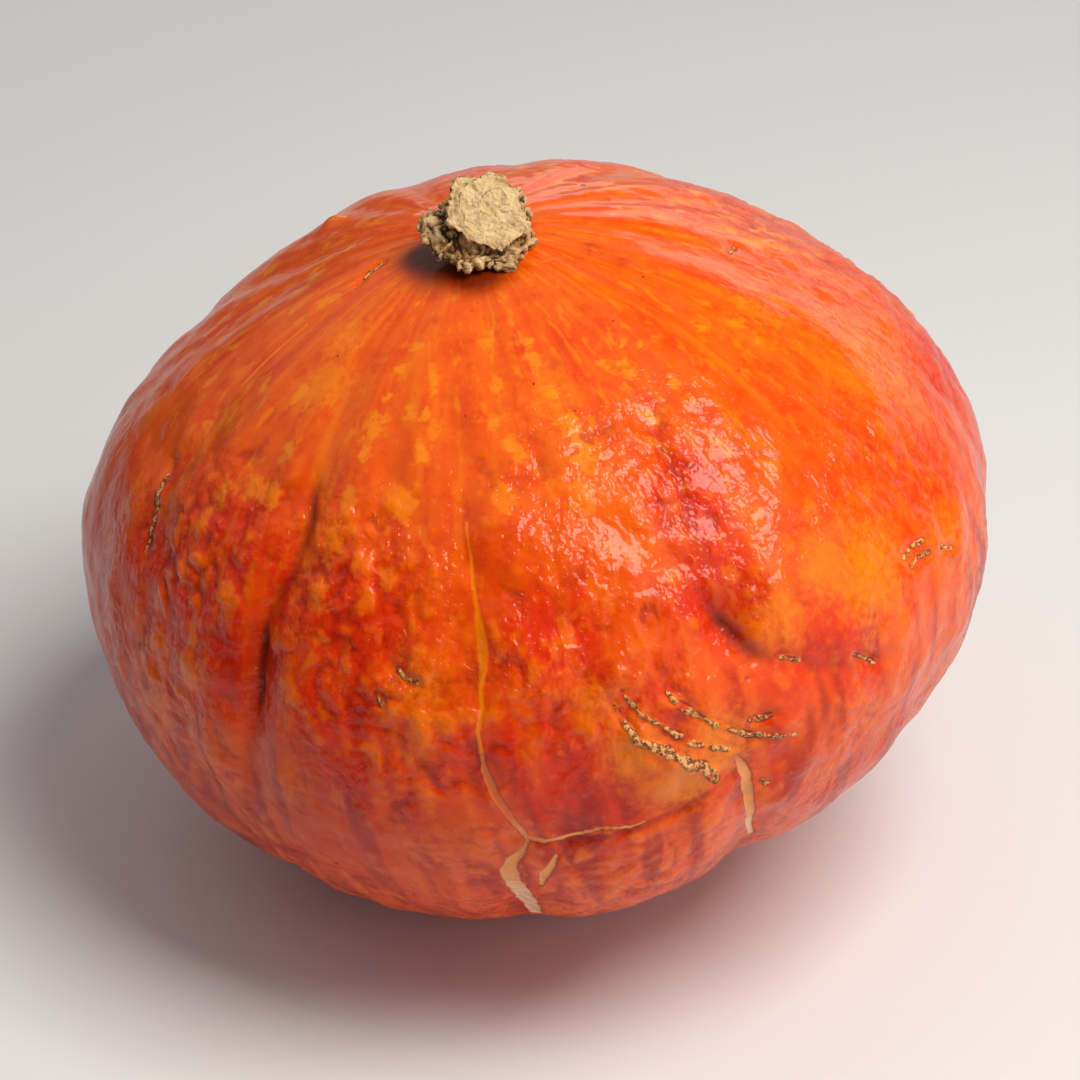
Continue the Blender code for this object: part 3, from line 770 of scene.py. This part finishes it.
def model_stem():
    """The stem's stub: a merged, subdivided copy of the CAD stem with crumbling cork modelled on it."""
    stub = guide_from("stem", "stem_stub")
    mesh = stub.data
    local = narrowed_stub(mesh)
    height = local[:, 2]
    normals = normals_of(mesh)
    face = np.array(Vector(STEM_FACE_NORMAL).normalized())
    cut = step(0.60, 0.88, normals @ face) * step(5.5, 8, height)
    rim = step(5.5, 7.5, height) * (1 - cut)

    noises = stem_noises(local)
    lumps, fibre, crumb, _ = noises
    ring = np.hypot(local[:, 0] - STEM_RING_MIDDLE, local[:, 1] - STEM_RING_MIDDLE) * 2.1 + 3.0 * lumps
    rings = np.cos(ring) * step(-3, 2, local[:, 1] - local[:, 0])
    top = cork_rise(STEM_TOP, *noises) + STEM_RING_HEIGHT * rings
    rise = cork_rise(STEM_SIDES, *noises) * (1 - rim) * (1 - cut)
    rise += cork_rise(STEM_LIP, *noises) * rim + top * cut
    rise *= step(-1.5, 0.5, height)
    move_corners(mesh, corners_of(mesh) + normals * (rise * MM)[:, None])

    # gap: painted shade between the fibres and crumbs and in the cut's cracks
    add_values(mesh, "gap", stem_crevice_shade(fibre, crumb, cut, ring, rings))
    # crest: lighter colour on the fibres and lumps, partly the cork's own pale fibres and partly painted
    # light
    add_values(mesh, "crest", np.clip(0.5 + 1.1 * np.abs(fibre) - 0.4 + 0.5 * lumps, 0, 1))
    add_values(mesh, "cut", cut)
    add_values(mesh, "low", 1 - step(-0.5, 4.5, height))
    choose_only(stub)
    bpy.ops.object.shade_smooth()
    mesh.materials.append(cork_material())
    return stub


def new_material(name):
    """A material with an empty tree but for its shader, and its tree and shader."""
    made = bpy.data.materials.new(name)
    made.use_nodes = True
    return made, made.node_tree, made.node_tree.nodes["Principled BSDF"]


def add_node(tree, kind, inputs=None, **settings):
    """Adds a node with these settings; each input is a value or another node's socket."""
    made = tree.nodes.new(kind)
    for name, value in settings.items():
        setattr(made, name, value)
    for name, value in (inputs or {}).items():
        socket = made.inputs[name]
        if isinstance(value, bpy.types.NodeSocket):
            tree.links.new(value, socket)
        else:
            socket.default_value = value
    return made


def read_values(tree, name):
    """The number that the mesh stores under this name."""
    return add_node(tree, "ShaderNodeAttribute", attribute_name=name).outputs["Fac"]


def object_coords(tree):
    """The piece's own coordinates, in metres."""
    return add_node(tree, "ShaderNodeTexCoord").outputs["Object"]


def noise_value(tree, place, pitch, detail=2.0, roughness=0.5, stretch=None):
    """Noise from 0 to 1 with lumps of this pitch in metres."""
    if stretch:
        place = add_node(tree, "ShaderNodeMapping", {"Vector": place, "Scale": stretch}).outputs[0]
    inputs = {"Vector": place, "Scale": 1 / pitch, "Detail": detail, "Roughness": roughness}
    return add_node(tree, "ShaderNodeTexNoise", inputs).outputs["Fac"]


def graded(tree, value, low, high, start=0.0, end=1.0):
    """The value turned smoothly from start at low to end at high."""
    inputs = {"Value": value, "From Min": low, "From Max": high, "To Min": start, "To Max": end}
    return add_node(tree, "ShaderNodeMapRange", inputs, interpolation_type="SMOOTHSTEP").outputs["Result"]


def math_value(tree, operation, first, second, third=None):
    """The result of a sum on two or three values."""
    made = add_node(tree, "ShaderNodeMath", operation=operation)
    for place, value in enumerate((first, second, third)):
        if isinstance(value, bpy.types.NodeSocket):
            tree.links.new(value, made.inputs[place])
        elif value is not None:
            made.inputs[place].default_value = value
    return made.outputs[0]


def mixed(tree, share, first, second):
    """Two colours mixed by a share."""
    made = add_node(tree, "ShaderNodeMix", data_type="RGBA")
    for name, value in (("Factor", share), ("A", first), ("B", second)):
        sockets = [socket for socket in made.inputs if socket.name == name and socket.enabled]
        if isinstance(value, bpy.types.NodeSocket):
            tree.links.new(value, sockets[0])
        elif name == "Factor":
            sockets[0].default_value = value
        else:
            sockets[0].default_value = (*value, 1)
    return [socket for socket in made.outputs if socket.enabled][0]


def bumped(tree, height, distance):
    """A bump of this height pattern, with its distance in metres."""
    inputs = {"Height": height, "Distance": distance, "Strength": 1.0}
    return add_node(tree, "ShaderNodeBump", inputs).outputs["Normal"]


def skin_material():
    """The waxy rind, with light flecks along its ribs, pale sutures and corky scars."""
    made, tree, shader = new_material("squash_skin")
    place = object_coords(tree)
    flow = add_node(tree, "ShaderNodeAttribute", attribute_name="flow").outputs["Vector"]
    scar = graded(tree, read_values(tree, "scar"), 0.30, 0.60)
    suture = graded(tree, read_values(tree, "suture"), 0.20, 0.90)
    crumb = noise_value(tree, place, CORK_PITCH, detail=2, roughness=0.7)
    color = with_painted_shade_and_strips(tree, rind_color(tree, place, flow))
    color = with_sutures(tree, place, suture, color)
    color = with_scars(tree, scar, crumb, color)
    tree.links.new(color, shader.inputs["Base Color"])

    gloss = graded(tree, noise_value(tree, place, GLOSS_PITCH, detail=1), 0.3, 0.7, 0.34, 0.46)
    gloss = math_value(tree, "MULTIPLY_ADD", suture, 0.15, gloss)
    gloss = math_value(tree, "MAXIMUM", gloss, math_value(tree, "MULTIPLY", scar, 0.9))
    tree.links.new(gloss, shader.inputs["Roughness"])
    shader.inputs["Specular IOR Level"].default_value = 0.10
    shader.inputs["Coat Weight"].default_value = 0.55
    shader.inputs["Coat IOR"].default_value = 1.47
    shader.inputs["Coat Roughness"].default_value = 0.11
    add_rind_bumps(tree, shader, place, flow, math_value(tree, "MULTIPLY", crumb, scar))
    return made


def with_painted_shade_and_strips(tree, color):
    """Painted shadow on the skin in front of the stem, painted shade in the slits, and yellow strips."""
    ring = read_values(tree, "stem_shadow")
    slit = read_values(tree, "slit")
    strip = read_values(tree, "strip")
    # Painted shadow of the stem's foot, near black
    color = mixed(tree, graded(tree, ring, 0.10, 0.75, 0.0, 0.85), color, STEM_FOOT_SHADOW)
    # Painted shade in the slits and folds: deep red, then darker where they are deepest
    color = mixed(tree, graded(tree, slit, 0.15, 0.70, 0.0, 0.60), color, DEEP_RED)
    color = mixed(tree, graded(tree, slit, 0.55, 1.10, 0.0, 0.90), color, CREASE_SHADOW)
    return mixed(tree, graded(tree, strip, 0.0, 1.0, 0.0, 0.70), color, YELLOW)


def with_sutures(tree, place, suture, color):
    """The pale sutures, with painted shade in deep red along their sunken rims."""
    # Painted shade along the sutures' sunken rims
    rim = graded(tree, read_values(tree, "suture"), 0.0, 0.25, 0.0, 0.55)
    color = mixed(tree, rim, color, DEEP_RED)
    return mixed(tree, suture, color, suture_color(tree, place))


def with_scars(tree, scar, crumb, color):
    """The corky scars with painted shadow lines along their rims, and the brown specks."""
    # Painted shadow along the scars' rims
    rim = graded(tree, read_values(tree, "scar_shadow"), 0.25, 0.9, 0.0, 0.8)
    color = mixed(tree, rim, color, SCAR_RIM_SHADOW)
    cork = mixed(tree, graded(tree, crumb, 0.42, 0.58), CORK_DARK, CORK_PALE)
    color = mixed(tree, scar, color, cork)
    speck = graded(tree, read_values(tree, "speck"), 0.25, 0.60, 0.0, 0.85)
    return mixed(tree, speck, color, SPECK_BROWN)


def rind_color(tree, place, flow):
    """The rind's orange, red and yellow, without slits, sutures and scars."""
    fall = read_values(tree, "fall")
    light = mixed(tree, graded(tree, fall, 0.24, 0.38), YELLOW, KNOB_ORANGE)
    blotch = noise_value(tree, place, BLOTCH_PITCH, detail=3, roughness=0.6)
    color = broad_color(tree, place, fall)
    color = mixed(tree, graded(tree, blotch, 0.44, 0.68, 0.0, 0.45), color, RED)
    color = with_streaks(tree, flow, fall, light, color)
    color = with_knobs(tree, color)
    color = with_flecks(tree, place, flow, fall, light, color)
    color = with_speckles(tree, place, light, color)
    color = with_wrinkles(tree, flow, fall, blotch, color)
    # Darker skin and painted shade down the sides and beside the slits
    return mixed(tree, read_values(tree, "dark"), color, DEEP_RED)


def broad_color(tree, place, fall):
    """Broad drifts of red and orange, redder down the sides."""
    drift = noise_value(tree, place, DRIFT_PITCH, detail=3)
    redness = math_value(tree, "MULTIPLY", drift, 0.9)
    redness = math_value(tree, "MULTIPLY_ADD", read_values(tree, "red"), 0.50, redness)
    redness = math_value(tree, "MULTIPLY_ADD", graded(tree, fall, 0.20, 0.42), 0.18, redness)
    return mixed(tree, graded(tree, redness, 0.40, 0.95), ORANGE, RED)


def with_streaks(tree, flow, fall, light, color):
    """Light and red streaks down the ribs, with deep red ones low down."""
    streak = noise_value(tree, flow, 1.0, detail=1, stretch=STREAKS)
    color = mixed(tree, graded(tree, streak, 0.52, 0.74, 0.0, 0.40), color, light)
    color = mixed(tree, graded(tree, streak, 0.28, 0.46, 0.40, 0.0), color, RED)
    low_streak = graded(tree, streak, 0.34, 0.50, 0.6, 0.0)
    low_streak = math_value(tree, "MULTIPLY", low_streak, graded(tree, fall, 0.44, 0.50))
    return mixed(tree, low_streak, color, DEEP_RED)


def with_knobs(tree, color):
    """Deep red in the valleys between the knobs and a lighter orange on their crests: partly the rind's own
    colour, partly painted shade and painted light.
    """
    crest = read_values(tree, "crest")
    # Partly painted shade in the valleys and painted light on the crests
    color = mixed(tree, graded(tree, crest, 0.28, 0.48, 0.65, 0.0), color, DEEP_RED)
    return mixed(tree, graded(tree, crest, 0.54, 0.78, 0.0, 0.75), color, KNOB_ORANGE)


def with_flecks(tree, place, flow, fall, light, color):
    """Yellow patches and light flecks with mottled edges, and small streaks of the same."""
    mottle = noise_value(tree, place, MOTTLE_PITCH, detail=3, roughness=0.65)
    mottle = graded(tree, mottle, 0.34, 0.66, -0.5, 0.5)
    broad = math_value(tree, "MULTIPLY_ADD", mottle, 0.30, read_values(tree, "yellow"))
    color = mixed(tree, graded(tree, broad, 0.10, 0.95, 0.0, 0.80), color, YELLOW)
    spot = math_value(tree, "MULTIPLY_ADD", mottle, 0.45, read_values(tree, "fleck"))
    spot = graded(tree, spot, 0.22, 0.85)
    spot = math_value(tree, "MULTIPLY", spot, graded(tree, fall, 0.24, 0.38, 0.85, 0.70))
    color = mixed(tree, spot, color, light)
    small = noise_value(tree, flow, 1.0, detail=2, roughness=0.6, stretch=SMALL_STREAKS)
    return mixed(tree, graded(tree, small, 0.56, 0.70, 0.0, 0.5), color, light)


def with_speckles(tree, place, light, color):
    """Fine light and dark speckles."""
    speckle = noise_value(tree, place, SPECKLE_PITCH, detail=2, roughness=0.65)
    color = mixed(tree, graded(tree, speckle, 0.55, 0.75, 0.0, 0.20), color, light)
    return mixed(tree, graded(tree, speckle, 0.25, 0.42, 0.25, 0.0), color, DEEP_RED)


def with_wrinkles(tree, flow, fall, blotch, color):
    """Dark red wrinkle lines in blotches under the blossom end's ring: partly the rind's own colour, partly
    painted shade of its wrinkles.
    """
    wrinkle = noise_value(tree, flow, 1.0, detail=2, roughness=0.6, stretch=WRINKLE_STREAKS)
    wrinkle = graded(tree, wrinkle, 0.34, 0.54, 0.7, 0.0)
    wrinkle = math_value(tree, "MULTIPLY", wrinkle, graded(tree, fall, 0.53, 0.62))
    wrinkle = math_value(tree, "MULTIPLY", wrinkle, graded(tree, blotch, 0.36, 0.60, 0.15, 0.9))
    return mixed(tree, wrinkle, color, DEEP_RED)


def add_rind_bumps(tree, shader, place, flow, crumbs):
    """The rind's fine bumps, pits and wrinkles in its wax, and softer ones in the flesh under it."""
    fall = read_values(tree, "fall")
    hammered = graded(tree, read_values(tree, "hammered"), 0.05, 0.75, 0.20, 1.0)
    patch = graded(tree, noise_value(tree, place, ROUGH_PATCH_PITCH, detail=0), 0.38, 0.60, 0.35, 1.0)
    share = math_value(tree, "MULTIPLY", hammered, patch)
    share = math_value(tree, "MAXIMUM", share, graded(tree, fall, 0.53, 0.60, 0.0, 0.9))
    share = math_value(tree, "MULTIPLY", share, graded(tree, fall, 0.12, 0.26))
    wrinkle = noise_value(tree, flow, 1.0, detail=1, stretch=WRINKLES)
    bumps = noise_value(tree, place, FINE_BUMP_PITCH, detail=1)
    pits = graded(tree, noise_value(tree, place, PIT_PITCH, detail=0), 0.56, 0.66)
    dents = noise_value(tree, place, DENT_PITCH, detail=0)

    fine = math_value(tree, "MULTIPLY", wrinkle, WRINKLE_DEPTH)
    fine = math_value(tree, "MULTIPLY_ADD", bumps, BUMP_DEPTH, fine)
    fine = math_value(tree, "MULTIPLY_ADD", pits, -PIT_DEPTH, fine)
    height = math_value(tree, "MULTIPLY_ADD", fine, share, math_value(tree, "MULTIPLY", dents, DENT_DEPTH))
    height = math_value(tree, "MULTIPLY_ADD", crumbs, CRUMB_DEPTH, height)
    tree.links.new(bumped(tree, height, 1.0), shader.inputs["Coat Normal"])

    flesh = math_value(tree, "MULTIPLY", bumps, share)
    flesh = math_value(tree, "MULTIPLY_ADD", crumbs, 1.0, flesh)
    tree.links.new(bumped(tree, flesh, FLESH_BUMP_DEPTH), shader.inputs["Normal"])


def suture_color(tree, place):
    """The sutures' colour: pale orange, then peach, then cream under the blossom end, with soft drifts."""
    drift = noise_value(tree, place, SUTURE_DRIFT_PITCH, detail=1)
    share = math_value(tree, "MULTIPLY_ADD", drift, 0.04, read_values(tree, "fall"))
    color = mixed(tree, graded(tree, share, 0.530, 0.555), PALE_ORANGE, PEACH)
    color = mixed(tree, graded(tree, share, 0.590, 0.640), color, CREAM)
    return mixed(tree, graded(tree, drift, 0.50, 0.66, 0.0, 0.25), color, SUTURE_OLIVE)


def cork_material():
    """The stem's dry cork: pale and woody on the cut, tan outside, with painted shade in its crevices and a
    lighter colour on its crests that is partly painted light.
    """
    made, tree, shader = new_material("stem_cork")
    place = object_coords(tree)
    gap = read_values(tree, "gap")
    crest = read_values(tree, "crest")
    cut = read_values(tree, "cut")
    low = read_values(tree, "low")
    drift = noise_value(tree, place, STEM_DRIFT_PITCH, detail=4, roughness=0.65)
    side = mixed(tree, graded(tree, drift, 0.36, 0.56), STEM_BROWN, STEM_TAN)
    # Lighter on the fibres' and lumps' crests: partly the cork's own colour, partly painted light
    side = mixed(tree, graded(tree, crest, 0.25, 0.62), side, STEM_CREAM)
    side = mixed(tree, graded(tree, crest, 0.52, 0.90), side, STEM_PALE)
    face = mixed(tree, graded(tree, drift, 0.36, 0.56), STEM_CREAM, STEM_PALE)
    color = mixed(tree, cut, side, face)
    color = mixed(tree, math_value(tree, "MULTIPLY", low, 0.30), color, STEM_BROWN)
    pores = noise_value(tree, place, STEM_PORE_PITCH, detail=3, roughness=0.7)
    color = mixed(tree, graded(tree, pores, 0.30, 0.46, 0.65, 0.0), color, STEM_BROWN)
    # Painted shade in the stem's crevices
    color = mixed(tree, graded(tree, gap, 0.35, 0.95, 0.0, 0.95), color, STEM_CREVICE_SHADOW)
    tree.links.new(color, shader.inputs["Base Color"])
    shader.inputs["Roughness"].default_value = 0.88
    shader.inputs["Specular IOR Level"].default_value = 0.20
    fine = noise_value(tree, place, STEM_FINE_PITCH, detail=4, roughness=0.7)
    tree.links.new(bumped(tree, fine, STEM_FINE_DEPTH), shader.inputs["Normal"])
    return made


def floor_material():
    """The pale floor's matt paper."""
    made, _, shader = new_material("pale_floor")
    shader.inputs["Base Color"].default_value = (*FLOOR_COLOR, 1)
    shader.inputs["Roughness"].default_value = 0.9
    return made


def add_floor():
    """A wide pale floor under the fruit."""
    bpy.ops.object.select_all(action="DESELECT")
    bpy.ops.mesh.primitive_plane_add(size=FLOOR_SIZE, location=(0, 0, FLOOR_HEIGHT))
    floor = bpy.context.active_object
    floor.name = "floor"
    floor.data.materials.append(floor_material())


def add_softbox(name, way, distance, size, power, color):
    """A soft light that looks at the fruit from the given way."""
    data = bpy.data.lights.new(name, "AREA")
    data.color = color
    data.shape = "RECTANGLE"
    data.size = size[0]
    data.size_y = size[1]
    data.energy = power
    lamp = bpy.data.objects.new(name, data)
    back = Vector(way).normalized()
    lamp.location = Vector(CORE) + back * distance
    lamp.rotation_euler = back.to_track_quat("Z", "Y").to_euler()
    lamp.visible_camera = False
    bpy.context.scene.collection.objects.link(lamp)


def add_lights():
    """A softbox above on the right, three wide weak ones around the fruit, and dim surroundings."""
    for row in SOFTBOXES:
        add_softbox(*row)
    world = bpy.data.worlds.new("pale_studio")
    world.use_nodes = True
    world.node_tree.nodes["Background"].inputs["Color"].default_value = (1, 1, 1, 1)
    world.node_tree.nodes["Background"].inputs["Strength"].default_value = SURROUNDING_LIGHT
    bpy.context.scene.world = world
    bpy.context.scene.view_settings.view_transform = "Standard"


def add_camera():
    """The camera, at the photograph's viewing angle."""
    data = bpy.data.cameras.new("camera")
    data.sensor_width = SENSOR_WIDTH
    data.lens = SENSOR_WIDTH * VIEW_DISTANCE / VIEW_WIDTH
    camera = bpy.data.objects.new("camera", data)
    rise = math.radians(VIEW_ELEVATION)
    back = Vector((0, -math.cos(rise), math.sin(rise)))
    camera.location = Vector(VIEW_TARGET) + back * VIEW_DISTANCE
    camera.rotation_euler = back.to_track_quat("Z", "Y").to_euler()
    bpy.context.scene.collection.objects.link(camera)
    bpy.context.scene.camera = camera


def main():
    """Builds the stage, then the dressed fruit and stem."""
    add_camera()
    add_lights()
    add_floor()
    skin = model_fruit()
    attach(skin, "root")
    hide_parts("fruit")
    stub = model_stem()
    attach(stub, "root")
    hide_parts("stem")


main()
